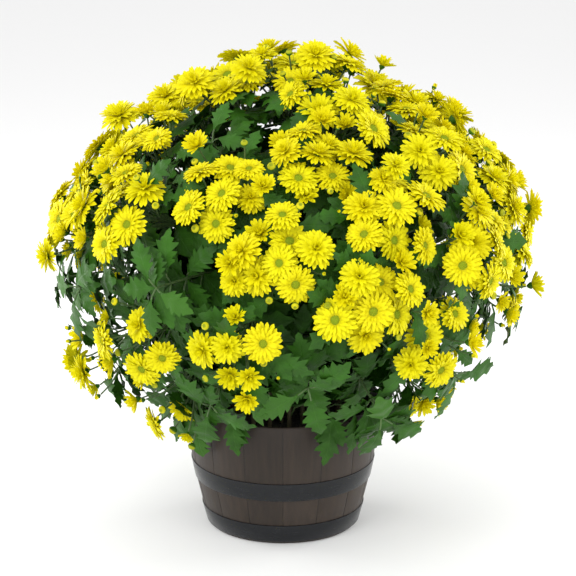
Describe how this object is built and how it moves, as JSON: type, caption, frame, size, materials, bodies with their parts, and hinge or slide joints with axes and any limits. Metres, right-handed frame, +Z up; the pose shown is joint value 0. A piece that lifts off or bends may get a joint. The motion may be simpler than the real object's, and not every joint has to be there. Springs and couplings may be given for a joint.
{
  "type": "pot chrysanthemum",
  "caption": "Bushy garden chrysanthemum in full bloom: a round crown of yellow double flowers over lobed green leaves, growing in a brown half-barrel pot with dark hoops.",
  "frame": {"origin": "centre of the pot's flat foot, on the surface it stands on", "axes": "+Z up along the pot's axis; -Y towards the front, the side the picture shows; +X to the right seen from the front"},
  "size_m": [0.628, 0.6348, 0.6312],
  "materials": {
    "barrel_brown": "moulded wood-look staves, satin",
    "hoop_black": "moulded band, semi-gloss",
    "soil_dark": "moist potting soil, rough",
    "petal_yellow": "fresh petals, soft matt",
    "leaf_green": "fresh leaves, satin"
  },
  "bodies": {
    "root": {"pot": "barrel_brown", "hoop_middle": "hoop_black", "hoop_base": "hoop_black", "soil": "soil_dark", "flowering_stem_01": "petal_yellow", "flowering_stem_02": "petal_yellow", "flowering_stem_03": "petal_yellow", "flowering_stem_04": "petal_yellow", "flowering_stem_06": "petal_yellow", "flowering_stem_07": "petal_yellow", "flowering_stem_08": "petal_yellow", "flowering_stem_09": "petal_yellow", "flowering_stem_10": "petal_yellow", "flowering_stem_11": "petal_yellow", "flowering_stem_12": "petal_yellow", "flowering_stem_13": "petal_yellow", "flowering_stem_14": "petal_yellow", "flowering_stem_15": "petal_yellow", "flowering_stem_16": "petal_yellow", "flowering_stem_17": "petal_yellow", "flowering_stem_18": "petal_yellow", "flowering_stem_19": "petal_yellow", "flowering_stem_20": "petal_yellow", "flowering_stem_21": "petal_yellow", "flowering_stem_22": "petal_yellow", "flowering_stem_23": "petal_yellow", "flowering_stem_24": "petal_yellow", "flowering_stem_27": "petal_yellow", "flowering_stem_28": "petal_yellow", "flowering_stem_29": "petal_yellow", "flowering_stem_30": "petal_yellow", "flowering_stem_32": "petal_yellow", "flowering_stem_33": "petal_yellow", "flowering_stem_34": "petal_yellow", "flowering_stem_35": "petal_yellow", "flowering_stem_37": "petal_yellow", "flowering_stem_39": "petal_yellow", "flowering_stem_41": "petal_yellow", "flowering_stem_44": "petal_yellow", "flowering_stem_46": "petal_yellow", "flowering_stem_48": "petal_yellow", "flowering_stem_52": "petal_yellow", "flowering_stem_53": "petal_yellow", "leafy_shoot_05": "leaf_green", "leafy_shoot_25": "leaf_green", "leafy_shoot_26": "leaf_green", "leafy_shoot_31": "leaf_green", "leafy_shoot_36": "leaf_green", "leafy_shoot_38": "leaf_green", "leafy_shoot_40": "leaf_green", "leafy_shoot_42": "leaf_green", "leafy_shoot_43": "leaf_green", "leafy_shoot_45": "leaf_green", "leafy_shoot_47": "leaf_green", "leafy_shoot_49": "leaf_green", "leafy_shoot_50": "leaf_green", "leafy_shoot_51": "leaf_green", "leafy_shoot_54": "leaf_green"}
  },
  "joints": []
}
